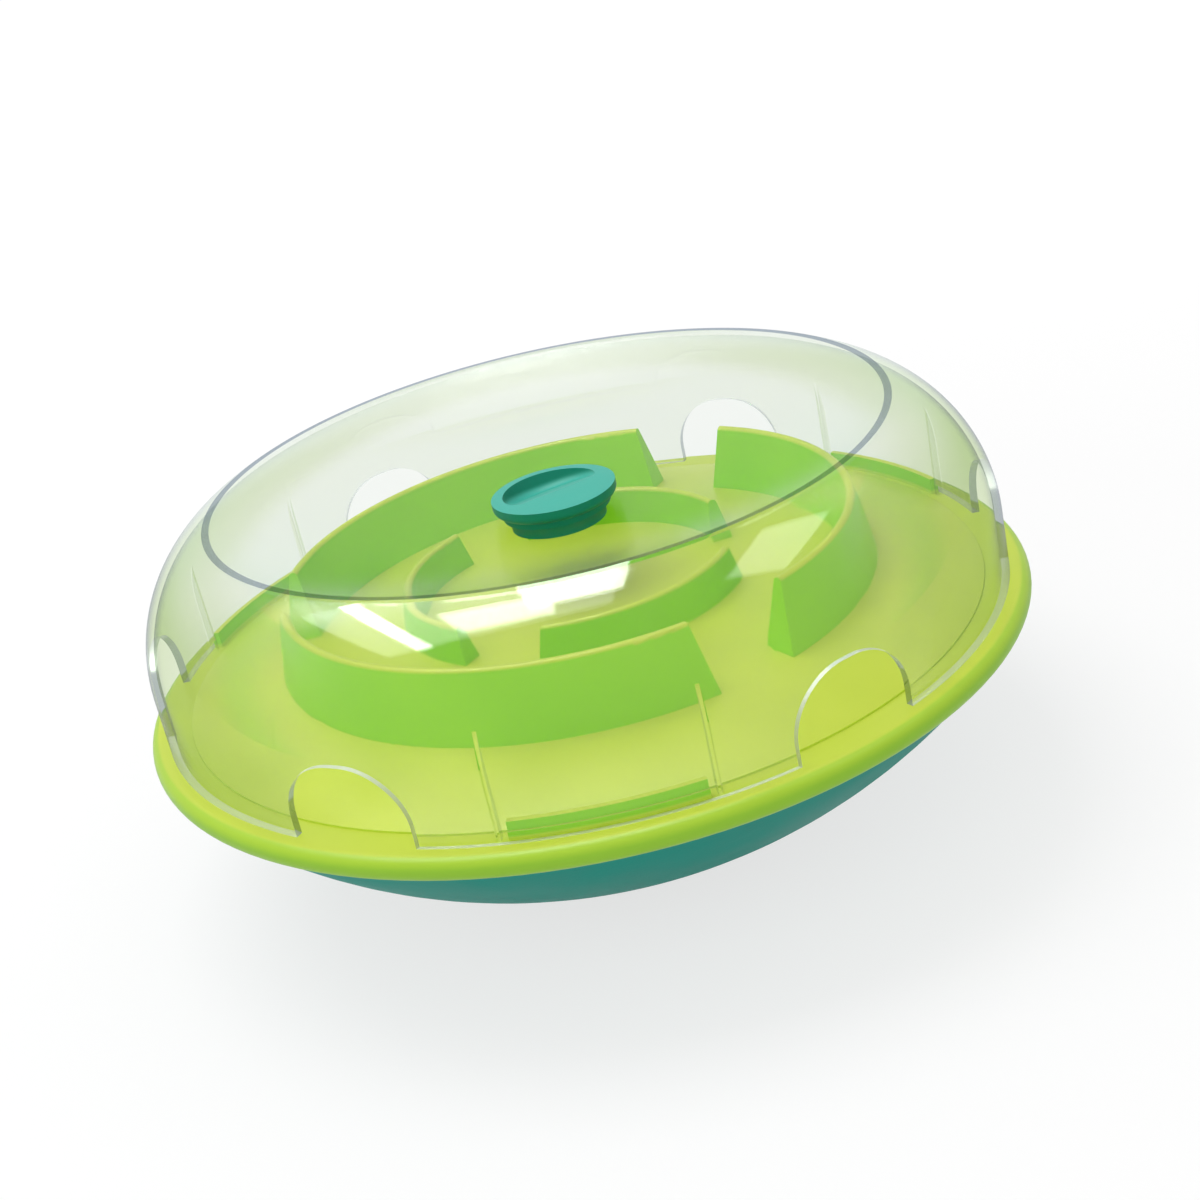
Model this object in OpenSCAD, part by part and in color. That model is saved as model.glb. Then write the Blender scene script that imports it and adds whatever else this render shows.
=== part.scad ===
// Dog wobble bowl: a clear lid with doorways over a maze tray, on a weighted base that rocks.
// Millimetres, +Z up, with the origin at the centre of the flat foot under the base.

/* [Base] */
// Diameter across the flange of the tray, the widest part of the bowl
bowl_d = 280; // [264:1:310]
// Height of the base from its foot to the underside of the flange
base_h = 61.8; // [54:0.2:72]
// Diameter of the flat foot that the bowl stands on
foot_d = 52; // [40:1:60]
// Wall of the rocking base
base_wall = 3; // [2:0.1:4]
// Height of the base's rim inside the groove of the tray
tongue_h = 3.4; // [2:0.1:3.6]
// Thickness of the gasket on top of that rim
seal_t = 1.2; // [0.8:0.1:1.6]

/* [Fasteners] */
// Distance of the tray screws from the middle
tower_r = 70; // [62:1:76]
// Diameter of the towers that carry the tray screws
tower_d = 14; // [12.5:0.5:18]
// Height of those towers above the foot
tower_h = 30; // [28:1:40]
// Plastic left under the head of a tray screw
head_seat_t = 3.4; // [2:0.2:5]
// Diameter of the well below the head of a tray screw
well_d = 10; // [9:0.2:11]
// Height of the soft cap's top in that well, above the foot
cap_top = 19; // [16:0.5:20]
// Diameter of a screw's shank
screw_d = 4; // [3:0.2:5]
// Diameter of a screw's head
screw_head_d = 7.6; // [6.4:0.2:8.2]
// Thickness of a screw's head
screw_head_t = 2.6; // [1.8:0.2:3.2]
// Length of a tray screw under its head
tray_screw_l = 25; // [16:1:30]
// Clearance around parts that are fixed to each other
fit_gap = 0.2; // [0.1:0.05:0.4]

/* [Ballast] */
// Diameter of the iron disc
ballast_d = 100; // [90:1:108]
// Thickness of the iron disc
ballast_t = 10; // [6:0.5:14]
// Height of the disc's underside above the foot
ballast_z = 12; // [11:0.5:15]
// Rounding of the disc's edges
ballast_edge = 1.5; // [0.5:0.1:2.5]
// Distance of the disc's screws from the middle
post_r = 36; // [24:1:40]
// Diameter of the posts under the disc
post_d = 11; // [9:0.5:14]
// Depth that the disc's screws reach into their posts
post_grip = 7; // [4:0.5:7.5]

/* [Tray] */
// Thickness of the flange, which its edge rounds off
flange_t = 7.4; // [6.8:0.1:9]
// How far the flange stands past the base
lip_overhang = 4.2; // [3.6:0.1:6]
// Thickness of the floor
floor_t = 3; // [2:0.1:4]
// Radius of the floor's foot, where it meets the flange
floor_r = 126.5; // [123:0.5:127.5]
// Height of the floor's foot above the flange
step_h = 0.6; // [0.2:0.1:1.2]
// Rise of the floor from its foot to its middle
floor_rise = 13; // [10:0.1:16]
// Radius at which the floor's gentle crown turns into its steeper edge
crown_r = 97; // [94:0.5:104]
// Rise of that crown
crown_rise = 6; // [4:0.1:7]
// Thickness of the upstands that centre the lid
upstand_t = 2.4; // [1.6:0.1:3]
// Height of the upstands above the flange
upstand_h = 5.4; // [4.6:0.1:8]
// How far the upper half of an upstand is set back, to lead the lid on
lead_in = 0.6; // [0.2:0.1:1]

/* [Maze] */
// Radius of the outer ring of walls, at their tops
outer_ring_r = 89.6; // [84:0.2:96]
// Height of the outer ring's tops above the flange
outer_ring_h = 30; // [20:0.5:32]
// Opening between the outer walls, in degrees
outer_gap = 15.5; // [10:0.5:24]
// Direction of the first of those openings, in degrees
outer_turn = -62.2; // [-180:0.1:180]
// Radius of the inner ring of walls, at their tops
inner_ring_r = 51.5; // [46:0.5:56]
// Height of the inner ring's tops above the flange
inner_ring_h = 23.5; // [19:0.5:26]
// Ends of the front inner wall, in degrees
front_wall = [-106, -23]; // [-180:1:180]
// Ends of the back inner wall, in degrees
back_wall = [16, 104]; // [0:1:180]
// Ends of the left inner wall, in degrees
left_wall = [130, 228]; // [90:1:270]
// Thickness of a wall at its rounded top
wall_crest = 3; // [2:0.1:4]
// Slope of a wall's faces and ends, in degrees
wall_draft = 10.5; // [4:0.5:13]

/* [Lid] */
// Width of the flange left free around the lid
lid_setback = 6; // [5:0.1:8]
// Wall of the lid
lid_wall = 2.4; // [1.8:0.1:3]
// Clearance between the lid and the tray
lid_gap = 0.4; // [0.3:0.05:0.8]
// Height of the lid, from the flange to its crest
lid_h = 59.4; // [56:0.2:64]
// Height of the upright skirt of the lid
skirt_h = 18; // [15:0.5:22]
// Radius of the lid's round shoulder
shoulder_r = 45; // [44:0.5:56]
// Width of the level crest between the shoulder and the dish
crest_land = 2; // [1:0.1:4]
// Depth of the dish in the lid's top
dish_depth = 21.2; // [17:0.2:22]
// Direction of the upstand at the front, in degrees
lid_turn = -92; // [-180:0.1:180]
// Width of a doorway
door_w = 39.2; // [37:0.2:44]
// Height of a doorway
door_h = 23.8; // [20:0.2:28]
// Radius of a doorway's upper corners
door_corner = 18; // [8:0.5:18.5]
// Angle from an upstand to the doorways beside it
door_swing = 31; // [29:0.1:33]
// Thickness of the fins inside the skirt
fin_t = 1.2; // [0.8:0.1:2]
// Depth of a fin at the foot of the skirt
fin_depth = 2.6; // [2.5:0.1:4.5]
// Height of a fin above the flange
fin_h = 34; // [24:0.5:36]
// Angle from an upstand to the fins beside it
fin_swing = 12.8; // [10:0.1:14]
// Play between a fin and the end of its upstand
fin_play = 2; // [0.5:0.1:4]

/* [Plug] */
// Diameter of the plug's rim
plug_d = 39.2; // [37:0.2:44]
// Thickness of the plug's rim
plug_rim_t = 4.2; // [3.8:0.1:5]
// Crown of the plug's top
plug_crown = 0.6; // [0.4:0.1:1]
// Diameter of the plug's waist, which stands on the lid
waist_d = 34; // [32.5:0.5:35]
// Height of the waist under the rim, room for a fingertip
waist_h = 2.2; // [1.6:0.1:3]
// Diameter of the plug's neck
neck_d = 30; // [27:0.5:31]
// Length of the plug's neck
neck_l = 4; // [3.6:0.2:5]
// Wall of the hollow neck
neck_wall = 3; // [2:0.1:4]
// Depth of the hollow in the neck
neck_hollow = 2.4; // [1.6:0.1:2.8]
// Diameter of the finger scoop
scoop_d = 32; // [28:0.5:33]
// Depth of the scoop at its steep side
scoop_depth = 5.6; // [4:0.1:6]
// How far the scoop's floor slopes up from that side until it runs out
scoop_run = 17; // [14:0.5:20]
// Rounding between that side and the floor
scoop_round = 3; // [1:0.1:4]
// How far the scoop lies off the middle
scoop_shift = 1.6; // [1:0.1:2.5]
// Direction of the scoop's steep side, in degrees
scoop_turn = 114; // [-180:1:180]
// Clearance of the neck in the filling hole
plug_gap = 0.35; // [0.3:0.05:0.6]
// How far the lid's level pad runs past the waist
pad_w = 1; // [0.6:0.1:2]
// Clearance between the waist and the pad
seat_gap = 0.05; // [0.05:0.05:0.2]

/* [Hidden] */
$fn = 120;
// Facets of the arcs with large radii
wide_fn = 1440;
// How far a cutting shape runs past the face that it cuts
past = 1;
// Screws, posts and towers, and walls of the outer ring
three = 3;

bowl_r = bowl_d / 2;
lip_r = flange_t / 2;
foot_r = foot_d / 2;
base_edge_r = bowl_r - lip_overhang;
// The rocking ball passes through the foot's edge and the base's upper edge
rock_z = (pow(base_edge_r, 2) - pow(foot_r, 2) + pow(base_h, 2)) / (2 * base_h);
rock_r = norm([foot_r, rock_z]);

flange_z = base_h + flange_t;
groove_top = base_h + tongue_h + seal_t;
groove_in = base_edge_r - base_wall - fit_gap;
groove_out = base_edge_r + fit_gap;

lid_r = bowl_r - lid_setback;
lid_bore_r = lid_r - lid_wall;
rim_in = floor_r - floor_t;
floor_foot_z = flange_z + step_h;
floor_top_z = floor_foot_z + floor_rise;
// The floor's crown is part of a ball, and its edge an arc that leaves the ball without a crease
floor_ball_r = (pow(crown_r, 2) + pow(crown_rise, 2)) / (2 * crown_rise);
floor_ball_z = floor_top_z - floor_ball_r;
function floor_z(r) = floor_ball_z + sqrt(pow(floor_ball_r, 2) - r * r);
crown_out = [crown_r, floor_z(crown_r) - floor_ball_z] / floor_ball_r;
edge_run = [floor_r - crown_r, floor_foot_z - floor_z(crown_r)];
edge_arc_r = -(edge_run * edge_run) / (2 * (edge_run * crown_out));
edge_arc_mid = [crown_r, floor_z(crown_r)] - edge_arc_r * crown_out;
upstand_r = lid_bore_r - lid_gap;
upstand_half = fin_swing - (fin_t / 2 + fin_play) / upstand_r * 180 / PI;

shoulder_z = flange_z + skirt_h;
shoulder_in = lid_r - shoulder_r;
crest_z = flange_z + lid_h;
crest_r = shoulder_in + sqrt(pow(shoulder_r, 2) - pow(crest_z - shoulder_z, 2));
dish_r = crest_r - crest_land;
dish_ball_r = (pow(dish_r, 2) + pow(dish_depth, 2)) / (2 * dish_depth);
dish_z = crest_z - dish_depth;
dish_ball_z = dish_z + dish_ball_r;
// Inner radius of the shoulder at a height
function shoulder_bore(z) = shoulder_in + sqrt(pow(shoulder_r - lid_wall, 2) - pow(z - shoulder_z, 2));

// The plug's waist stands on a level pad, which runs out into the dish around it
pad_r = waist_d / 2 + pad_w;
pad_z = dish_ball_z - sqrt(pow(dish_ball_r, 2) - pow(pad_r, 2));
seat_z = pad_z + seat_gap;
rim_z = seat_z + waist_h;
plug_top_z = rim_z + plug_rim_t;
hole_r = neck_d / 2 + plug_gap;
ballast_screw_l = ballast_t + post_grip;
door_turns = [for (i = [0:three - 1], side = [-1, 1]) lid_turn + i * 120 + side * door_swing];
fin_turns = [for (i = [0:three - 1], side = [-1, 1]) lid_turn + i * 120 + side * fin_swing];

module spread(turn = 0) {
    for (i = [0:three - 1]) rotate(turn + i * 360 / three) children();
}

// A rectangle in a revolved section, from one radius and height to another
module section_box(r0, r1, z0, z1) {
    translate([r0, z0]) square([r1 - r0, z1 - z0]);
}

module ball_section(r, z) {
    translate([0, z]) circle(r, $fn = wide_fn);
}

module rocking_ball() {
    rotate_extrude() intersection() {
        ball_section(rock_r, rock_z);
        section_box(0, bowl_r, 0, base_h);
    }
}

module screw(length) {
    cylinder(d = screw_d, h = length);
    translate([0, 0, -screw_head_t]) cylinder(d = screw_head_d, h = screw_head_t);
}

// The base's wall is a slice of a hollow ball, with an upright rim at its top
module base_section() {
    difference() {
        intersection() {
            ball_section(rock_r, rock_z);
            section_box(0, base_edge_r, 0, base_h + tongue_h);
        }
        intersection() {
            ball_section(rock_r - base_wall, rock_z);
            section_box(0, base_edge_r - base_wall, base_wall, base_h);
        }
        section_box(0, base_edge_r - base_wall, base_h - fit_gap, base_h + tongue_h + past);
    }
}

module rocker_base() {
    color("#2f9488") difference() {
        union() {
            rotate_extrude() base_section();
            intersection() {
                union() {
                    spread() translate([tower_r, 0, 0]) cylinder(d = tower_d, h = tower_h);
                    spread() translate([post_r, 0, 0]) cylinder(d = post_d, h = ballast_z);
                }
                rocking_ball();
            }
        }
        spread() translate([tower_r, 0, -past]) {
            cylinder(d = well_d, h = tower_h - head_seat_t + past);
            cylinder(d = screw_d + 2 * fit_gap, h = tower_h + 2 * past);
        }
        spread() translate([post_r, 0, ballast_z - post_grip - fit_gap])
            cylinder(d = screw_d + 2 * fit_gap, h = post_grip + past);
    }
}

module seal_ring() {
    color("#303336") rotate_extrude()
        section_box(base_edge_r - base_wall, base_edge_r, base_h + tongue_h, groove_top);
}

module ballast_weight() {
    color("#5a5d60") translate([0, 0, ballast_z]) difference() {
        rotate_extrude() {
            section_box(0, ballast_d / 2 - ballast_edge, 0, ballast_t);
            section_box(0, ballast_d / 2, ballast_edge, ballast_t - ballast_edge);
            for (z = [ballast_edge, ballast_t - ballast_edge])
                translate([ballast_d / 2 - ballast_edge, z]) circle(ballast_edge);
        }
        spread() translate([post_r, 0, -past])
            cylinder(d = screw_d + 2 * fit_gap, h = ballast_t + 2 * past);
    }
}

module ballast_screws() {
    color("#b9bcc0") spread() translate([post_r, 0, ballast_z + ballast_t]) mirror([0, 0, 1])
        screw(ballast_screw_l);
}

// All that lies under the floor's surface, or under a surface that is inset from it
module under_floor(inset, foot_z) {
    turn_r = crown_r - inset * crown_out[0];
    intersection() {
        ball_section(floor_ball_r - inset, floor_ball_z);
        section_box(0, turn_r, foot_z, floor_top_z);
    }
    intersection() {
        translate(edge_arc_mid) circle(edge_arc_r - inset, $fn = wide_fn);
        section_box(turn_r, floor_r, foot_z, floor_top_z);
    }
}

// Crowned floor, rim and rounded flange, with the groove that takes the base's rim
module tray_section() {
    difference() {
        under_floor(0, base_h);
        under_floor(floor_t, base_h - past);
    }
    difference() {
        union() {
            section_box(rim_in, bowl_r - lip_r, base_h, flange_z);
            translate([bowl_r - lip_r, base_h + lip_r]) circle(lip_r);
        }
        section_box(groove_in, groove_out, base_h - past, groove_top);
    }
}

// One maze wall: a drafted section with a round top, swept from angle 0 and sloped at both ends
module maze_wall(ring_r, top_z, sweep) {
    root_z = floor_z(ring_r) - floor_t / 2;
    neck_z = top_z - wall_crest / 2;
    spread_r = (neck_z - root_z) * tan(wall_draft);
    crest = wall_crest / 2;
    difference() {
        rotate_extrude(angle = sweep) {
            polygon([[ring_r - crest - spread_r, root_z], [ring_r + crest + spread_r, root_z],
                     [ring_r + crest, neck_z], [ring_r - crest, neck_z]]);
            translate([ring_r, neck_z]) circle(crest);
        }
        end_cut(floor_z(ring_r));
        rotate(sweep) mirror([0, 1, 0]) end_cut(floor_z(ring_r));
    }
}

module end_cut(z) {
    reach = bowl_r;
    translate([0, 0, z]) rotate([-wall_draft, 0, 0]) translate([0, -reach, -reach])
        cube([reach, reach, 2 * reach]);
}

module upstand() {
    root_z = flange_z - floor_t;
    rotate(-upstand_half) rotate_extrude(angle = 2 * upstand_half) {
        section_box(upstand_r - upstand_t, upstand_r, root_z, flange_z + upstand_h / 2);
        section_box(upstand_r - upstand_t, upstand_r - lead_in, root_z, flange_z + upstand_h);
    }
}

module maze_tray() {
    outer_sweep = 360 / three - outer_gap;
    color("#b5d64b") difference() {
        union() {
            rotate_extrude() tray_section();
            spread(outer_turn + outer_gap / 2) maze_wall(outer_ring_r, flange_z + outer_ring_h, outer_sweep);
            for (wall = [front_wall, back_wall, left_wall])
                rotate(wall[0]) maze_wall(inner_ring_r, flange_z + inner_ring_h, wall[1] - wall[0]);
            spread(lid_turn) upstand();
            spread() translate([tower_r, 0, tower_h])
                cylinder(d = tower_d, h = floor_z(tower_r) - floor_t / 2 - tower_h);
        }
        spread() translate([tower_r, 0, tower_h - past])
            cylinder(d = screw_d + 2 * fit_gap, h = tray_screw_l - head_seat_t + past + fit_gap);
    }
}

module tray_screws() {
    color("#b9bcc0") spread() translate([tower_r, 0, tower_h - head_seat_t]) screw(tray_screw_l);
}

// Each cap is trimmed flush with the rocking ball
module screw_caps() {
    color("#26776d") intersection() {
        spread() translate([tower_r, 0, 0]) cylinder(d = well_d - 2 * fit_gap, h = cap_top);
        rocking_ball();
    }
}

// The lid's outer mass, or the space inside its wall when inset by the wall
module lid_mass(inset) {
    section_box(0, lid_r - inset, flange_z - inset, shoulder_z);
    intersection() {
        union() {
            translate([shoulder_in, shoulder_z]) circle(shoulder_r - inset, $fn = wide_fn);
            section_box(0, shoulder_in, shoulder_z, crest_z);
        }
        section_box(0, lid_r, shoulder_z, crest_z);
    }
}

module lid_section() {
    difference() {
        lid_mass(0);
        ball_section(dish_ball_r, dish_ball_z);
        difference() {
            lid_mass(lid_wall);
            ball_section(dish_ball_r + lid_wall, dish_ball_z);
        }
    }
    intersection() {
        section_box(0, pad_r, dish_z - lid_wall, pad_z);
        ball_section(dish_ball_r + lid_wall, dish_ball_z);
    }
}

module door_cut() {
    side = door_w / 2 - door_corner;
    spring = door_h - door_corner;
    reach = lid_wall + fin_depth;
    translate([lid_r - 2 * reach, 0, flange_z]) rotate([90, 0, 90]) linear_extrude(3 * reach) {
        translate([-door_w / 2, -past]) square([door_w, spring + past]);
        translate([-side, 0]) square([2 * side, door_h]);
        for (x = [-side, side]) translate([x, spring]) circle(door_corner);
    }
}

module fin() {
    root = lid_wall / 2;
    foot_z = flange_z + lid_gap;
    top_z = flange_z + fin_h;
    translate([0, fin_t / 2, 0]) rotate([90, 0, 0]) linear_extrude(fin_t)
        polygon([[lid_bore_r - fin_depth, foot_z], [lid_bore_r + root, foot_z],
                 [lid_bore_r + root, shoulder_z], [shoulder_bore(top_z) + root, top_z]]);
}

module lid() {
    color("#dfe8ee", 0.4) difference() {
        union() {
            rotate_extrude() lid_section();
            for (turn = fin_turns) rotate(turn) fin();
        }
        for (turn = door_turns) rotate(turn) door_cut();
        translate([0, 0, dish_z - lid_wall - past]) cylinder(r = hole_r, h = 2 * lid_wall + 2 * past);
    }
}

// A coin with a round edge, tilted about the scoop's direction, cuts a steep side and a floor that runs out
module scoop_cut() {
    tilt = atan(scoop_depth / scoop_run);
    flat_r = scoop_d / 2 - scoop_round;
    rotate(scoop_turn) translate([scoop_d / 2 - scoop_shift, 0, plug_top_z - scoop_depth]) rotate([0, tilt, 0])
        translate([-scoop_d / 2, 0, 0]) rotate_extrude() {
            section_box(0, flat_r, 0, plug_d);
            section_box(0, scoop_d / 2, scoop_round, plug_d);
            translate([flat_r, scoop_round]) circle(scoop_round);
        }
}

module plug_section() {
    edge = plug_rim_t / 2;
    crown_ball_r = (pow(plug_d / 2 - edge, 2) + pow(plug_crown, 2)) / (2 * plug_crown);
    section_box(0, plug_d / 2 - edge, rim_z, plug_top_z);
    translate([plug_d / 2 - edge, rim_z + edge]) circle(edge);
    intersection() {
        ball_section(crown_ball_r, plug_top_z + plug_crown - crown_ball_r);
        section_box(0, plug_d / 2, rim_z + edge, plug_top_z + plug_crown);
    }
    section_box(0, waist_d / 2, seat_z, rim_z + edge);
    section_box(0, neck_d / 2, seat_z - neck_l, rim_z);
}

module fill_plug() {
    color("#1fa08f") difference() {
        rotate_extrude() plug_section();
        scoop_cut();
        translate([0, 0, seat_z - neck_l - past]) cylinder(r = neck_d / 2 - neck_wall, h = neck_hollow + past);
    }
}

rocker_base();
seal_ring();
ballast_weight();
ballast_screws();
maze_tray();
tray_screws();
screw_caps();
lid();
fill_plug();
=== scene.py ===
# %% [markdown]
# # A wobble bowl for dogs
# The bowl is a round-bottomed base, a lime maze tray, a clear lid and a soft plug. Their exact shapes
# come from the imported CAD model, which is loaded here as a fixed frame. Blender adds the camera, the
# light and the finishes, so this lesson is mostly about materials: moulded plastic, clear plastic
# and soft plastic, each built from shader nodes that read the object's own coordinates.

# %% Load the frame
import math

import bmesh
import bpy
import numpy as np
from mathutils import Matrix, Vector


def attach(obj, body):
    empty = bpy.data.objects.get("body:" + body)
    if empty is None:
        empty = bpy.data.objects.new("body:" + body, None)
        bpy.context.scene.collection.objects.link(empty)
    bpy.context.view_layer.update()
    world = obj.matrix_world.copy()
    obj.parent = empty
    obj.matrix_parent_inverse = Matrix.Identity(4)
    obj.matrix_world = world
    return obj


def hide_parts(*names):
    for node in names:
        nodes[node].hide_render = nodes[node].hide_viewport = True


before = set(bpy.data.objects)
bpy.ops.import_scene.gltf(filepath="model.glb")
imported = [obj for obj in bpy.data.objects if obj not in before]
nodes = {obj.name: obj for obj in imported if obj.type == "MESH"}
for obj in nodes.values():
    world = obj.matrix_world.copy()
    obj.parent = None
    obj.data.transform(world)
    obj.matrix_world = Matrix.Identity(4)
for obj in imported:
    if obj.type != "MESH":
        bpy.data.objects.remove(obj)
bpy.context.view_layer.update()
print("pieces:", ", ".join(sorted(nodes)))

# %% [markdown]
# ## The camera
# The photograph looks at the bowl from the front and about 24 degrees above it, while the bowl leans
# over on its round base. A lean of the bowl and a roll of the camera give the same picture, so the
# bowl stays upright here and the camera is rolled. The angles come from fitting the rims of the
# flange and the lid, which are circles, to the ellipses that they make in the picture. Each row of
# the matrix `axes` is one of the camera's own axes, written in the bowl's frame.

# %% Camera
def turn(axis, degrees):
    """Rotation matrix about X, Y or Z by an angle: cosines on the diagonal, sines across it."""
    return np.array(Matrix.Rotation(math.radians(degrees), 3, axis))


focal_px, image_px = 1975.5, 1200
distance, elevation = 0.63, math.radians(24.03)
rim_height = 0.0653
back = np.array([0.0, -math.cos(elevation), math.sin(elevation)])
right = np.array([1.0, 0.0, 0.0])
level = np.stack([right, np.cross(back, right), back])
axes = turn("Y", 0.43) @ turn("X", -0.87) @ turn("Z", 12.93) @ level
place = distance * back + [0.0, 0.0, rim_height]

lens = bpy.data.cameras.new("camera")
lens.sensor_width = 36.0
lens.lens = lens.sensor_width * focal_px / image_px
lens.clip_start, lens.clip_end = 0.01, 50.0
camera = bpy.data.objects.new("camera", lens)
camera.matrix_world = Matrix([[*axes[:, i], place[i]] for i in range(3)] + [[0, 0, 0, 1]])
bpy.context.scene.collection.objects.link(camera)
bpy.context.scene.camera = camera
print("lens", round(lens.lens, 1), "mm, camera at", place.round(3))

# %% [markdown]
# ## Light and floor
# A product shot on white: a wide soft box above, a fill from the front and an even white surround.
# The surround is plain white where the camera, a reflection or the clear lid looks at it, and
# dimmer where it only lights the bowl, so that the colours stay as they are written.

# %% World
scene = bpy.context.scene
scene.view_settings.view_transform = "Standard"


def link(tree, *pairs):
    """Joins sockets in pairs: an output, then the input that it goes to."""
    for source, target in pairs:
        tree.links.new(source, target)


def supply(tree, socket, value):
    """Gives an input its value: a link from another socket, or else a number or colour of its own."""
    if isinstance(value, bpy.types.NodeSocket):
        link(tree, (value, socket))
    else:
        socket.default_value = value


def compute(tree, operation, *values):
    """The result of a Math node on the given values, each a number or a socket."""
    node = tree.nodes.new("ShaderNodeMath")
    node.operation = operation
    for socket, value in zip(node.inputs, values):
        supply(tree, socket, value)
    return node.outputs[0]


def seen_directly(tree):
    """1 where a camera, reflected or transmitted ray arrives and 0 for the rays that only light things."""
    path = tree.nodes.new("ShaderNodeLightPath")
    either = compute(tree, "MAXIMUM", path.outputs["Is Camera Ray"], path.outputs["Is Glossy Ray"])
    return compute(tree, "MAXIMUM", either, path.outputs["Is Transmission Ray"])


surround = bpy.data.worlds.new("white_surround")
surround.use_nodes = True
tree = surround.node_tree
tree.nodes.clear()
lighting = tree.nodes.new("ShaderNodeBackground")
lighting.inputs["Color"].default_value = (1.0, 1.0, 1.0, 1.0)
lighting.inputs["Strength"].default_value = 0.74
backdrop = tree.nodes.new("ShaderNodeBackground")
backdrop.inputs["Color"].default_value = (1.0, 1.0, 1.0, 1.0)
backdrop.inputs["Strength"].default_value = 1.0
choose = tree.nodes.new("ShaderNodeMixShader")
output = tree.nodes.new("ShaderNodeOutputWorld")
link(tree, (seen_directly(tree), choose.inputs[0]), (lighting.outputs[0], choose.inputs[1]),
     (backdrop.outputs[0], choose.inputs[2]), (choose.outputs[0], output.inputs["Surface"]))
scene.world = surround
print("surround lights at", lighting.inputs["Strength"].default_value)

# %% [markdown]
# The glare on the lid's shoulder comes from bright panels, placed where the shoulder mirrors them into
# the camera: two above the crest, a strip to the left and a dim one to the right. On matt plastic they
# would only add light from above, so they show in gloss alone. The fill does the opposite: it lights
# matt faces and leaves no mark on the lid.

# %% Lamps
bowl_middle = Vector((0.0, 0.0, 0.08))


def soft_box(name, spot, size, watts, along=(1.0, 0.0, 0.0)):
    """A rectangular lamp that faces the bowl; its width runs along a direction, its height across it."""
    data = bpy.data.lights.new(name, "AREA")
    data.shape = "RECTANGLE"
    data.size, data.size_y = size
    data.energy = watts
    away = (Vector(spot) - bowl_middle).normalized()
    across = away.cross(Vector(along)).normalized()
    turned = Matrix((across.cross(away), across, away)).transposed()
    lamp = bpy.data.objects.new(name, data)
    lamp.matrix_world = Matrix.Translation(spot) @ turned.to_4x4()
    scene.collection.objects.link(lamp)
    return lamp


soft_box("top_box", (-0.35, 0.1, 1.25), (1.0, 0.8), 8.5)
front_fill = soft_box("front_fill", (-0.3, -1.2, 0.9), (0.8, 0.8), 3.6)
front_fill.visible_glossy = front_fill.visible_transmission = False
for panel in (soft_box("crest_panel", (0.0, 0.1, 1.1), (0.26, 0.36), 5.5),
              soft_box("pale_panel", (-0.22, -0.05, 1.1), (0.3, 0.3), 3.5),
              soft_box("left_strip", (-0.495, 0.053, 0.945), (0.66, 0.06), 4.0, (-0.07, -0.99, 0.11)),
              soft_box("right_strip", (0.6, -0.03, 0.96), (0.5, 0.26), 1.4, (0.0, 1.0, 0.0))):
    panel.visible_diffuse = False

# %% [markdown]
# The floor is one flat disc, a grid over radius and angle. To the camera it is nearly all white
# glow with some matt paint, so that it fades into the surround and still takes the bowl's shadow.

# %% Floor
def disc_surface(radius, rings, spokes):
    """Points r * (cos a, sin a, 0) for r from 0 to radius and a once round, and the quads between them."""
    r, a = np.meshgrid(np.linspace(0.0, radius, rings), np.linspace(0, 2 * np.pi, spokes, endpoint=False))
    points = np.stack([r * np.cos(a), r * np.sin(a), 0 * r], -1).reshape(-1, 3)
    i, j = np.meshgrid(np.arange(spokes), np.arange(rings - 1), indexing="ij")
    after = (i + 1) % spokes
    quads = np.stack([i * rings + j, i * rings + j + 1, after * rings + j + 1, after * rings + j], -1)
    return points, quads.reshape(-1, 4)


floor_r = 12.0
points, quads = disc_surface(floor_r, 12, 96)
mesh = bpy.data.meshes.new("floor")
mesh.from_pydata(points.tolist(), [], quads.tolist())
floor = bpy.data.objects.new("floor", mesh)
scene.collection.objects.link(floor)

paper = bpy.data.materials.new("white_paper")
paper.use_nodes = True
tree = paper.node_tree
tree.nodes.clear()
bounce = tree.nodes.new("ShaderNodeBsdfDiffuse")
bounce.inputs["Color"].default_value = (0.8, 0.8, 0.8, 1.0)
shade = tree.nodes.new("ShaderNodeBsdfDiffuse")
shade.inputs["Color"].default_value = (0.23, 0.23, 0.23, 1.0)
glow = tree.nodes.new("ShaderNodeEmission")
reach = tree.nodes.new("ShaderNodeVectorMath")
reach.operation = "LENGTH"
fade = tree.nodes.new("ShaderNodeMapRange")
for label, value in (("From Min", 0.3), ("From Max", 1.2), ("To Min", 0.72), ("To Max", 0.86)):
    fade.inputs[label].default_value = value
both = tree.nodes.new("ShaderNodeAddShader")
choose = tree.nodes.new("ShaderNodeMixShader")
output = tree.nodes.new("ShaderNodeOutputMaterial")
link(tree, (tree.nodes.new("ShaderNodeTexCoord").outputs["Object"], reach.inputs[0]),
     (reach.outputs["Value"], fade.inputs["Value"]), (fade.outputs["Result"], glow.inputs["Color"]),
     (shade.outputs[0], both.inputs[0]), (glow.outputs[0], both.inputs[1]),
     (seen_directly(tree), choose.inputs[0]), (bounce.outputs[0], choose.inputs[1]),
     (both.outputs[0], choose.inputs[2]), (choose.outputs[0], output.inputs["Surface"]))
mesh.materials.append(paper)
print("floor:", len(mesh.polygons), "faces")

# %% [markdown]
# ## A shared effect: moulded skin
# Every part of the bowl comes out of a steel mould, and the mould's spark-eroded or polished face is
# printed on it. Seen close up that is a fine grain. Seen from afar it is a slight cloudiness of the
# gloss. One node group makes both from noise on Object coordinates, with its own values in each
# material, so the grain has the same size on every part.

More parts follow.
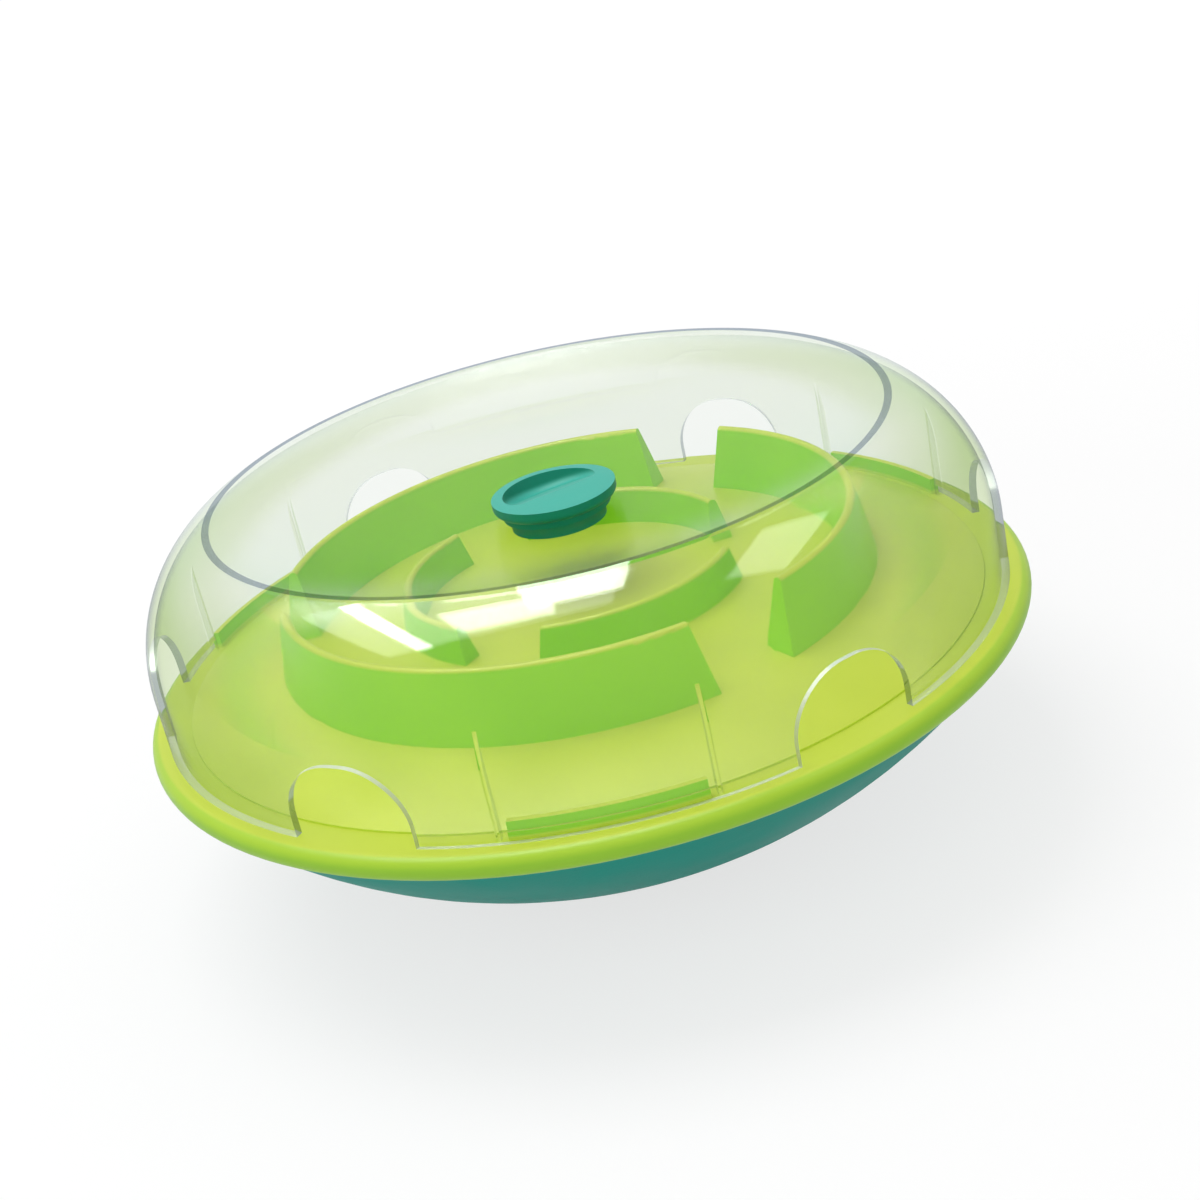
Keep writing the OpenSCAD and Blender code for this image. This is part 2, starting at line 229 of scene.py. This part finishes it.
# %% Moulded skin
def new_group(name, numbers, results):
    """An empty shader node group with number inputs, given as (name, value), and number outputs."""
    group = bpy.data.node_groups.new(name, "ShaderNodeTree")
    for label, value in numbers:
        socket = group.interface.new_socket(label, in_out="INPUT", socket_type="NodeSocketFloat")
        socket.default_value = value
    for label in results:
        group.interface.new_socket(label, in_out="OUTPUT", socket_type="NodeSocketFloat")
    return group, group.nodes.new("NodeGroupInput"), group.nodes.new("NodeGroupOutput")


def noise(tree, coordinates, scale, detail=2.0):
    """A noise texture over the given coordinates."""
    texture = tree.nodes.new("ShaderNodeTexNoise")
    texture.inputs["Detail"].default_value = detail
    supply(tree, texture.inputs["Scale"], scale)
    link(tree, (coordinates, texture.inputs["Vector"]))
    return texture


def stretch(tree, value, low, high, to_low, to_high):
    """Carries a value from one range to another, smoothly and without running past either end."""
    ranger = tree.nodes.new("ShaderNodeMapRange")
    ranger.interpolation_type = "SMOOTHSTEP"
    for label, number in (("Value", value), ("From Min", low), ("From Max", high),
                          ("To Min", to_low), ("To Max", to_high)):
        supply(tree, ranger.inputs[label], number)
    return ranger.outputs["Result"]


skin, given, result = new_group(
    "moulded_skin", [("Gloss low", 0.25), ("Gloss high", 0.4), ("Grain size", 900.0)],
    ["Roughness", "Grain", "Cloud"])
place_on = skin.nodes.new("ShaderNodeTexCoord").outputs["Object"]
cloud = noise(skin, place_on, 28.0, 3.0).outputs["Fac"]
grain = noise(skin, place_on, given.outputs["Grain size"], 1.0).outputs["Fac"]
gloss = stretch(skin, cloud, 0.3, 0.7, given.outputs["Gloss low"], given.outputs["Gloss high"])
link(skin, (gloss, result.inputs["Roughness"]), (grain, result.inputs["Grain"]),
     (stretch(skin, cloud, 0.25, 0.75, 0.0, 1.0), result.inputs["Cloud"]))
print("group:", skin.name)

# %% [markdown]
# A second group, for the parts that get pushed and dragged: fine scuffs. Long thin noise is kept
# only where it is strongest, which leaves sparse strokes. They dull the gloss and hardly change
# the colour.

# %% Scuffs
scuffs, given, result = new_group("fine_scuffs", [("Amount", 0.5)], ["Stroke"])
place_on = scuffs.nodes.new("ShaderNodeTexCoord").outputs["Object"]
longways = scuffs.nodes.new("ShaderNodeMapping")
longways.inputs["Rotation"].default_value = (0.3, 0.2, 0.6)
longways.inputs["Scale"].default_value = (30.0, 420.0, 160.0)
link(scuffs, (place_on, longways.inputs["Vector"]))
strokes = noise(scuffs, longways.outputs["Vector"], 1.0).outputs["Fac"]
strongest = stretch(scuffs, strokes, 0.62, 0.78, 0.0, 1.0)
link(scuffs, (compute(scuffs, "MULTIPLY", strongest, given.outputs["Amount"]), result.inputs["Stroke"]))
print("group:", scuffs.name)

# %% [markdown]
# Short functions keep the finishes readable. Each finish starts from one Principled shader, places the
# groups above, and blends its colours by a share that runs from 0 to 1.

# %% Helpers for the finishes
def new_finish(name):
    """A material with only a Principled shader and the output, and its node tree."""
    material = bpy.data.materials.new(name)
    material.use_nodes = True
    tree = material.node_tree
    tree.nodes.clear()
    surface = tree.nodes.new("ShaderNodeBsdfPrincipled")
    output = tree.nodes.new("ShaderNodeOutputMaterial")
    link(tree, (surface.outputs[0], output.inputs["Surface"]))
    return material, tree, surface


def use_group(tree, group, **values):
    """Places a node group; its inputs are named with _ for a space."""
    node = tree.nodes.new("ShaderNodeGroup")
    node.node_tree = group
    for label, number in values.items():
        node.inputs[label.replace("_", " ")].default_value = number
    return node


def blend_colours(tree, share, first, second):
    """The first colour at share 0 and the second at share 1; a colour may be a socket."""
    mix = tree.nodes.new("ShaderNodeMix")
    mix.data_type = "RGBA"
    link(tree, (share, mix.inputs["Factor"]))
    for label, colour in (("A", first), ("B", second)):
        socket = next(s for s in mix.inputs if s.name == label and s.type == "RGBA")
        supply(tree, socket, (*colour, 1.0) if isinstance(colour, tuple) else colour)
    return next(s for s in mix.outputs if s.type == "RGBA")


def own_z(tree, kind):
    """Z of the object's own coordinates, or of its normal, at each point of the surface."""
    parts = tree.nodes.new("ShaderNodeSeparateXYZ")
    link(tree, (tree.nodes.new("ShaderNodeTexCoord").outputs[kind], parts.inputs[0]))
    return parts.outputs["Z"]


def dull(tree, surface, strokes, amount, skin_node):
    """Roughness of the moulded skin, raised by some amount where there are strokes."""
    rough = compute(tree, "MULTIPLY_ADD", strokes, amount, skin_node.outputs["Roughness"])
    link(tree, (rough, surface.inputs["Roughness"]))


def relief(tree, surface, height, depth):
    """Bump from a height, in metres of depth, into the shader's normal."""
    bump = tree.nodes.new("ShaderNodeBump")
    bump.inputs["Strength"].default_value = 1.0
    bump.inputs["Distance"].default_value = depth
    link(tree, (height, bump.inputs["Height"]), (bump.outputs["Normal"], surface.inputs["Normal"]))


def wear(node, material):
    """Gives a CAD node that material in place of its plain one."""
    for place in nodes[node].material_slots:
        place.material = material
    print(node, "->", material.name)


# %% [markdown]
# ## The lime tray
# The tray is one moulding: crowned floor, maze walls, upstands and flange, all of one lime. The plastic lets
# a little light through. Light and shade are painted into its colour, as lit and shaded copies of that lime:
# upright faces are painted greener, a painted light for what comes through the walls and off the floor, and
# faces that lie flat are painted yellower, a painted light from above. The direction that a face points in
# tells them apart: the Z of its normal is 1 on the floor and near 0 on a wall. Below the top of the flange,
# its rounded edge and side are painted darker and greener, a painted shade, and the low step at the floor's
# foot is painted pale, a painted light that takes out its shade line. Height above the ground, Object Z,
# tells these from the rest.

# %% Lime plastic
lime, tree, surface = new_finish("lime_plastic")
skin_node = use_group(tree, skin, Gloss_low=0.32, Gloss_high=0.44, Grain_size=1400.0)
scuff_node = use_group(tree, scuffs, Amount=0.3)
flange_top, wall_foot = (0.0688, 0.0692), (0.0700, 0.0708)
# Painted light: flat faces take a yellower lime and upright faces a greener one, lit and shaded copies of
# one colour.
flat_share = stretch(tree, own_z(tree, "Normal"), 0.1, 0.75, 0.0, 1.0)
flange_step = stretch(tree, own_z(tree, "Object"), *flange_top, 0.0, 1.0)
maze = stretch(tree, own_z(tree, "Object"), *wall_foot, 0.0, 1.0)
wall_painted_light = blend_colours(tree, skin_node.outputs["Cloud"], (0.26, 0.64, 0.013), (0.29, 0.67, 0.018))
# Painted shade on the flange's rounded edge and side; painted light on the low step at the floor's foot.
flange_shade_step_light = blend_colours(tree, flange_step, (0.25, 0.48, 0.03), (0.52, 0.69, 0.055))
upright = blend_colours(tree, maze, flange_shade_step_light, wall_painted_light)
floor_painted_light = blend_colours(tree, skin_node.outputs["Cloud"], (0.43, 0.53, 0.045), (0.465, 0.56, 0.05))
level_face = blend_colours(tree, flange_step, (0.33, 0.52, 0.032), floor_painted_light)
link(tree, (blend_colours(tree, flat_share, upright, level_face), surface.inputs["Base Color"]))
dull(tree, surface, scuff_node.outputs["Stroke"], 0.15, skin_node)
surface.inputs["Specular IOR Level"].default_value = 0.18
relief(tree, surface, skin_node.outputs["Grain"], 0.00002)
wear("maze_tray", lime)

# %% [markdown]
# ## The teal base
# The base takes the knocks: it rocks on the floor. Its satin finish is rougher than the tray's, and
# the zone around the foot carries more scuffs. Height above the floor, Object Z, fades them out.

# %% Teal base
teal, tree, surface = new_finish("teal_base")
skin_node = use_group(tree, skin, Gloss_low=0.38, Gloss_high=0.5, Grain_size=1100.0)
scuff_node = use_group(tree, scuffs, Amount=1.0)
low = stretch(tree, own_z(tree, "Object"), 0.0, 0.02, 1.0, 0.15)
rubbed = compute(tree, "MULTIPLY", low, scuff_node.outputs["Stroke"])
plain = blend_colours(tree, skin_node.outputs["Cloud"], (0.010, 0.225, 0.178), (0.014, 0.25, 0.198))
link(tree, (blend_colours(tree, rubbed, plain, (0.08, 0.32, 0.27)), surface.inputs["Base Color"]))
dull(tree, surface, rubbed, 0.2, skin_node)
surface.inputs["Specular IOR Level"].default_value = 0.02
relief(tree, surface, skin_node.outputs["Grain"], 0.00003)
wear("rocker_base", teal)

# %% [markdown]
# ## The clear lid's surface
# Clear plastic shows every facet of its mesh twice, once where light enters and once where it leaves.
# So the lid is drawn anew on one fine grid, in the same place and with the same sizes as the solid.
# The rows of the grid run once round the wall's section: up the outer face, over the crest, down the
# dish to the filling hole, and back along the inner face. The columns run round the bowl. Only the
# lower rows differ from column to column: inside a doorway they start at its arch.

# %% Lid sizes, in millimetres
foot_z, lid_r, wall = 69.2, 134.0, 2.4
skirt_h, shoulder_r, lid_h, crest_land = 18.0, 45.0, 59.4, 2.0
dish_depth, pad_r, hole_r = 21.2, 18.0, 15.35
door_half, door_corner, door_h, door_swing = 19.6, 18.0, 23.8, 31.0
fin_half, fin_depth, fin_h, fin_swing = 0.6, 2.6, 34.0, 12.8
lid_turn = -92.0

shoulder_in = lid_r - shoulder_r
spring = door_h - door_corner
crest_z = foot_z + lid_h
crest_r = shoulder_in + math.sqrt(shoulder_r ** 2 - (lid_h - skirt_h) ** 2)
dish_r = crest_r - crest_land
dish_ball = (dish_r ** 2 + dish_depth ** 2) / (2 * dish_depth)
dish_mid = crest_z - dish_depth + dish_ball
print("crest at radius", round(crest_r, 1), "and height", round(crest_z, 1))

# %% [markdown]
# A point on either face of the skirt and shoulder is found by walking a distance `s` up from the foot:
# straight for the height of the skirt, then round the shoulder's arc. The inner face is the same walk
# with the wall taken off both radii.

# %% Faces of the lid
def face_point(s, inset):
    """Radius and height after a walk s: up the skirt, then cosine and sine of the angle round the arc."""
    arc_r = shoulder_r - inset
    angle = np.maximum(s - skirt_h, 0.0) / arc_r
    return shoulder_in + arc_r * np.cos(angle), foot_z + np.minimum(s, skirt_h) + arc_r * np.sin(angle)


def walk_to(height, inset):
    """The walk that ends at a height above the foot: the inverse of face_point."""
    arc_r = shoulder_r - inset
    over = np.clip((height - skirt_h) / arc_r, 0.0, 1.0)
    return np.minimum(height, skirt_h) + arc_r * np.arcsin(over)


def dish_height(r, inset):
    """Height of the dish, or of its underside when inset by the wall: a ball seen from inside."""
    return dish_mid - np.sqrt((dish_ball + inset) ** 2 - r ** 2)


# %% [markdown]
# The columns follow what stands on the skirt. In a doorway they are spread evenly along the arch, from
# one upright side to the other, and the first row starts at `low`, the arch. At a fin two pairs of
# columns lie in the same place, and the inner pair is pulled inwards on the inner face. The pattern
# from an upstand to halfway between two upstands is mirrored and then repeated three times.

# %% Columns round the lid
def half_columns(inset):
    """Angles in degrees, lowest walk, fin share and doorway flag of the columns from 0 to 60 degrees."""
    radius = lid_r - inset
    quarter = np.radians(np.linspace(0.0, 90.0, 17))
    across = (door_half - door_corner) + door_corner * np.cos(quarter)
    rise = spring + door_corner * np.sin(quarter)
    across, rise = np.r_[-across, across[::-1]], np.r_[rise, rise[::-1]]
    door = door_swing + np.degrees(np.arcsin(across / radius))
    fin = fin_swing + np.degrees(fin_half / radius) * np.array([-1, -1, 1, 1])
    parts = [np.linspace(0.0, fin[0], 16)[:-1], fin, np.linspace(fin[-1], door[0], 12)[1:-1], door,
             np.linspace(door[-1], 60.0, 26)[1:]]
    angle = np.concatenate(parts)
    low, share = np.full(angle.size, spring), np.zeros(angle.size)
    open_door = np.zeros(angle.size, bool)
    first = parts[0].size
    share[first + 1:first + 3] = 1.0
    first += fin.size + parts[2].size
    low[first:first + door.size] = walk_to(rise, inset)
    open_door[first:first + door.size] = True
    return angle, low, share, open_door


def lid_columns(inset):
    """The half pattern mirrored about 0 and repeated at 0, 120 and 240 degrees, without doubled ends."""
    angle, low, share, open_door = half_columns(inset)
    signed = (angle, -1), (low, 1), (share, 1), (open_door, 1)
    whole = [np.r_[sign * x[:0:-1], x[:-1]] for x, sign in signed]
    turns = np.repeat(lid_turn + np.array([0.0, 120.0, 240.0]), whole[0].size)
    return np.radians(np.tile(whole[0], 3) + turns), *(np.tile(x, 3) for x in whole[1:])


columns = lid_columns(0.0)[0].size
print(columns, "columns")

# %% [markdown]
# The lower rows come in two bands: from the foot to where the arches spring, which the doorways leave
# out, and from there (or from the arch) to a level row above all doorways. The rest of the section is
# the same for every column.

# %% Rows of the lid
join_s = 36.0
foot_rows = np.array([0.08, 0.4, 2.2, 4.0])
arch_rows = np.linspace(0.0, 1.0, 15)


def lower_rows(inset):
    """Points (row, column, xyz) of one face from the foot to the joining row, with the fins pulled in."""
    angle, low, share, _ = lid_columns(inset)
    s = np.vstack([foot_rows[:, None] + 0 * low, low + (join_s - low) * arch_rows[:, None]])
    r, z = face_point(s, inset)
    top_r = face_point(walk_to(fin_h, wall), wall)[0] + wall / 2
    climb = (z - foot_z) / fin_h
    fin_edge = (lid_r - wall - fin_depth) * (1 - climb) + top_r * climb
    pulled = np.where((s > foot_rows[0]) & (inset > 0), share, 0.0)
    r = r + pulled * (np.minimum(r, fin_edge) - r)
    return np.stack([r * np.cos(angle), r * np.sin(angle), z], -1)


def upper_section():
    """Radius and height in turn: shoulder, crest, dish, pad, hole, and back under them to the shoulder."""
    outer = face_point(np.linspace(join_s, walk_to(lid_h, 0.0), 18)[1:], 0.0)
    dish = np.linspace(dish_r, pad_r, 26)
    seek = np.linspace(dish_r, crest_r, 4001)
    rise = foot_z + skirt_h + np.sqrt((shoulder_r - wall) ** 2 - (seek - shoulder_in) ** 2)
    peak_r = seek[np.abs(rise - dish_height(seek, wall)).argmin()]
    under = np.linspace(hole_r, peak_r, 27)
    peak_s = walk_to(dish_height(peak_r, wall) - foot_z, wall)
    inner = face_point(np.linspace(peak_s, join_s, 18)[1:-1], wall)
    r = np.r_[outer[0], dish, hole_r, under, inner[0]]
    z = np.r_[outer[1], dish_height(dish, 0.0), dish_height(pad_r, 0.0), dish_height(under, wall),
              inner[1]]
    return r, z


r, z = upper_section()
angle = lid_columns(0.0)[0]
upper = np.stack([r[:, None] * np.cos(angle), r[:, None] * np.sin(angle), z[:, None] + 0 * angle], -1)
grid = np.concatenate([lower_rows(0.0), upper, lower_rows(wall)[::-1]])
print("grid of", grid.shape[0], "rows")

# %% [markdown]
# Quads join each row to the next all the way round. Below the arches they leave out the doorways, whose
# edges are closed across the wall: over the arch by joining the first row of the band to the last,
# and at the upright sides by joining the same rows along a column. Where columns share a place, such
# as the fins on the outer face, the doubled corners are merged. Each face carries a number, `cut_edge`,
# which is 1 where the wall is closed round the doorways and 0.7 at the foot, for the finish to read.

# %% Lid mesh
rows = grid.shape[0]
start, end = foot_rows.size, rows - 1 - foot_rows.size
number = np.arange(rows * columns).reshape(rows, columns)
following = np.roll(number, -1, axis=1)
in_door = lid_columns(0.0)[3].astype(bool)
walled = ~(in_door & np.roll(in_door, -1))


def band(lower, upper, keep):
    """Quads from one set of rows to another: corner, next corner, the next one's upper, upper."""
    quads = np.stack([number[lower], following[lower], following[upper], number[upper]], -1)
    return quads[:, keep].reshape(-1, 4)


def sides(column, outward):
    """Quads across the wall at an upright side of a doorway, facing the doorway."""
    outer, inner = number[:start + 1, column], number[::-1][:start + 1, column]
    quads = np.stack([outer[:-1], inner[:-1], inner[1:], outer[1:]], -1).reshape(-1, 4)
    return quads if outward else quads[:, ::-1]


everywhere = np.ones(columns, bool)
faces = np.concatenate([
    band(slice(start, end), slice(start + 1, end + 1), everywhere),
    band(slice(0, start), slice(1, start + 1), walled),
    band(slice(end, rows - 1), slice(end + 1, rows), walled),
    band([rows - 1], [0], walled),
    band([end], [start], ~walled),
    sides(in_door & ~np.roll(in_door, 1), True),
    sides(in_door & ~np.roll(in_door, -1), False)])
edge = np.zeros(len(faces))
first_cut = (end - start) * columns + (start + rows - 1 - end) * walled.sum()
edge[first_cut:] = 1.0
edge[first_cut:first_cut + walled.sum()] = 0.7
used, faces = np.unique(faces, return_inverse=True)
mesh = bpy.data.meshes.new("clear_lid")
mesh.from_pydata((grid.reshape(-1, 3)[used] / 1000).tolist(), [], faces.reshape(-1, 4).tolist())
mesh.attributes.new("cut_edge", "FLOAT", "FACE").data.foreach_set("value", edge)
work = bmesh.new()
work.from_mesh(mesh)
bmesh.ops.remove_doubles(work, verts=work.verts, dist=1e-6)
work.to_mesh(mesh)
work.free()
mesh.shade_smooth()
mesh.set_sharp_from_angle(angle=math.radians(14))
clear_lid = bpy.data.objects.new("clear_lid", mesh)
scene.collection.objects.link(clear_lid)
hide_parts("lid")
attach(clear_lid, "cover")
print("clear_lid:", len(mesh.vertices), "corners,", len(mesh.polygons), "faces")

# %% [markdown]
# ## The clear lid
# The lid is a shell of polished plastic. Seen straight on, a glass shader bends and mirrors the light at
# both faces of the wall, as the real one does. The cut edges are painted a deeper, grey-blue colour: a
# painted shade for the light that the real edges bend away and trap in the wall.

# %% Clear plastic
clear, tree, surface = new_finish("clear_plastic")
skin_node = use_group(tree, skin, Gloss_low=0.03, Gloss_high=0.06, Grain_size=700.0)
scuff_node = use_group(tree, scuffs, Amount=1.0)
marks = tree.nodes.new("ShaderNodeAttribute")
marks.attribute_name = "cut_edge"
cut_edge = marks.outputs["Fac"]
body = blend_colours(tree, skin_node.outputs["Cloud"], (0.905, 0.93, 0.895), (0.91, 0.935, 0.90))
# Painted shade: the cut edges are painted dark grey-blue.
link(tree, (blend_colours(tree, cut_edge, body, (0.24, 0.28, 0.35)), surface.inputs["Base Color"]))
dull(tree, surface, scuff_node.outputs["Stroke"], 0.04, skin_node)
surface.inputs["Transmission Weight"].default_value = 1.0
surface.inputs["IOR"].default_value = 1.49
surface.inputs["Specular Tint"].default_value = (0.6, 0.6, 0.6, 1.0)
mesh.materials.append(clear)
print("clear_lid ->", clear.name)

# %% [markdown]
# Seen at a slant, a thin wall hardly shifts what lies behind it, but a glass shader would catch the light
# inside the wall and sparkle. So there the light goes straight through. It takes on more tint the further it
# runs in the plastic: a faint one in the dish, and in the skirt a leafy one, which is partly that tint and
# partly a painted reflection of the lime tray that the skirt stands round. Where the wall is seen nearly
# edge-on it turns grey, partly that tint and partly painted shade, and along the crest a grey line is
# painted, a painted shade where the real lid bends the light away. Where the wall is seen edge-on it also
# mirrors more of the bright surround, as any smooth plastic does. The cut edges take a grey tint too, a
# painted shade, and mirror the surround, more blurred, which draws the pale lines round the doorways and
# along the foot.

# %% Tint of the wall
slant = tree.nodes.new("ShaderNodeLayerWeight").outputs["Facing"]
crest_band = (0.12848, 0.12858)
longer = stretch(tree, slant, 0.2, 0.9, 0.0, 1.0)
# Partly painted reflection: the skirt's leafy tint also stands for the lime tray mirrored in it.
skirt = blend_colours(tree, longer, (0.925, 0.945, 0.885), (0.83, 0.89, 0.73))
edge_on = stretch(tree, slant, 0.78, 1.0, 0.0, 1.0)
# Partly painted shade: the wall turns grey where it is seen edge-on.
skirt = blend_colours(tree, edge_on, skirt, (0.56, 0.60, 0.62))
longer = stretch(tree, slant, 0.5, 0.95, 0.0, 1.0)
dish = blend_colours(tree, longer, (0.955, 0.97, 0.95), (0.93, 0.97, 0.945))
lying = stretch(tree, compute(tree, "ABSOLUTE", own_z(tree, "Normal")), 0.5, 0.9, 0.0, 1.0)
wall_tint = blend_colours(tree, lying, skirt, dish)
# Painted shade: a grey line along the crest.
crest = stretch(tree, own_z(tree, "Object"), *crest_band, 0.0, 1.0)
wall_tint = blend_colours(tree, crest, wall_tint, (0.44, 0.49, 0.57))
# Painted shade: the cut edges take a grey tint.
wall_tint = blend_colours(tree, cut_edge, wall_tint, (0.56, 0.60, 0.63))
print("tints:", len(tree.nodes), "nodes so far")

# %% [markdown]
# The two ways are mixed by the slant, at the angle outside the wall for light that comes in and at the
# smaller, bent angle for light that goes out. Light that only falls through the lid onto the tray
# meets a nearly clear sheet, so that the lid hardly shades what it covers.

# %% Light through the lid
straight_on = tree.nodes.new("ShaderNodeBsdfTransparent")
shine = tree.nodes.new("ShaderNodeBsdfGlossy")
shine.inputs["Color"].default_value = (0.8, 0.8, 0.84, 1.0)
slanted = tree.nodes.new("ShaderNodeMixShader")
blur = stretch(tree, cut_edge, 0.0, 1.0, 0.2, 0.55)
mirrored = compute(tree, "MULTIPLY_ADD", cut_edge, 0.35, stretch(tree, slant, 0.75, 1.0, 0.05, 0.3))
link(tree, (wall_tint, straight_on.inputs["Color"]), (blur, shine.inputs["Roughness"]),
     (mirrored, slanted.inputs[0]), (straight_on.outputs[0], slanted.inputs[1]),
     (shine.outputs[0], slanted.inputs[2]))

uncut = stretch(tree, cut_edge, 0.0, 1.0, 1.0, 0.0)
coming_in = compute(tree, "MULTIPLY", stretch(tree, slant, 0.3, 0.5, 0.0, 1.0), uncut)
going_out = stretch(tree, slant, 0.12, 0.19, 0.0, 1.0)
share = tree.nodes.new("ShaderNodeMix")
glass = tree.nodes.new("ShaderNodeMixShader")
link(tree, (tree.nodes.new("ShaderNodeNewGeometry").outputs["Backfacing"], share.inputs["Factor"]),
     (coming_in, share.inputs["A"]), (going_out, share.inputs["B"]),
     (share.outputs["Result"], glass.inputs[0]), (surface.outputs[0], glass.inputs[1]),
     (slanted.outputs[0], glass.inputs[2]))

sheet = tree.nodes.new("ShaderNodeBsdfTransparent")
sheet.inputs["Color"].default_value = (0.98, 0.985, 0.98, 1.0)
path = tree.nodes.new("ShaderNodeLightPath")
only_lights = compute(tree, "MAXIMUM", path.outputs["Is Shadow Ray"], path.outputs["Is Diffuse Ray"])
choose = tree.nodes.new("ShaderNodeMixShader")
output = next(n for n in tree.nodes if n.type == "OUTPUT_MATERIAL")
link(tree, (only_lights, choose.inputs[0]), (glass.outputs[0], choose.inputs[1]),
     (sheet.outputs[0], choose.inputs[2]), (choose.outputs[0], output.inputs["Surface"]))
print("clear plastic:", len(tree.nodes), "nodes")

# %% [markdown]
# ## The soft plug and caps
# The plug that closes the filling hole, the caps over the screws and the gasket are soft and matt. Steep
# faces, like the wall of the finger scoop, are painted deeper in colour than level ones, a painted shade. A
# trace of sheen gives the bloom that it shows where it curves away.

# %% Soft plastic
def soft_plastic(name, dark, pale, steep):
    """Matt soft plastic between two close colours, a deeper one painted on steep faces as shade, and a
    coarse mould grain.
    """
    material, tree, surface = new_finish(name)
    skin_node = use_group(tree, skin, Gloss_low=0.42, Gloss_high=0.56, Grain_size=1000.0)
    level_face = blend_colours(tree, skin_node.outputs["Cloud"], dark, pale)
    # Painted shade: steep faces take the deeper colour.
    flat_share = stretch(tree, own_z(tree, "Normal"), 0.35, 0.9, 0.0, 1.0)
    link(tree, (blend_colours(tree, flat_share, steep, level_face), surface.inputs["Base Color"]),
         (skin_node.outputs["Roughness"], surface.inputs["Roughness"]))
    surface.inputs["Specular IOR Level"].default_value = 0.2
    surface.inputs["Sheen Weight"].default_value = 0.05
    surface.inputs["Sheen Roughness"].default_value = 0.4
    relief(tree, surface, skin_node.outputs["Grain"], 0.00003)
    return material


wear("fill_plug", soft_plastic(
    "soft_teal", (0.03, 0.34, 0.265), (0.036, 0.36, 0.285), (0.002, 0.20, 0.125)))
wear("screw_caps", soft_plastic(
    "soft_dark_teal", (0.022, 0.16, 0.13), (0.03, 0.19, 0.155), (0.015, 0.13, 0.1)))
wear("seal_ring", soft_plastic(
    "gasket_rubber", (0.02, 0.021, 0.022), (0.032, 0.033, 0.034), (0.015, 0.016, 0.017)))

# %% [markdown]
# ## The hidden metal
# An iron disc low in the base rights the bowl, and plated screws hold it and the tray. They are inside
# and only show when the model is taken apart, so their finishes are simple: a coarse cast skin
# for the iron and a brushed one for the screws.

# %% Metals
iron, tree, surface = new_finish("cast_iron")
skin_node = use_group(tree, skin, Gloss_low=0.55, Gloss_high=0.75, Grain_size=500.0)
link(tree, (blend_colours(tree, skin_node.outputs["Cloud"], (0.06, 0.062, 0.065), (0.10, 0.10, 0.105)),
            surface.inputs["Base Color"]), (skin_node.outputs["Roughness"], surface.inputs["Roughness"]))
surface.inputs["Metallic"].default_value = 1.0
relief(tree, surface, skin_node.outputs["Grain"], 0.0002)
wear("ballast_weight", iron)

steel, tree, surface = new_finish("plated_steel")
skin_node = use_group(tree, skin, Gloss_low=0.22, Gloss_high=0.36, Grain_size=2000.0)
link(tree, (blend_colours(tree, skin_node.outputs["Cloud"], (0.55, 0.56, 0.57), (0.66, 0.67, 0.69)),
            surface.inputs["Base Color"]), (skin_node.outputs["Roughness"], surface.inputs["Roughness"]))
surface.inputs["Metallic"].default_value = 1.0
wear("ballast_screws", steel)
wear("tray_screws", steel)
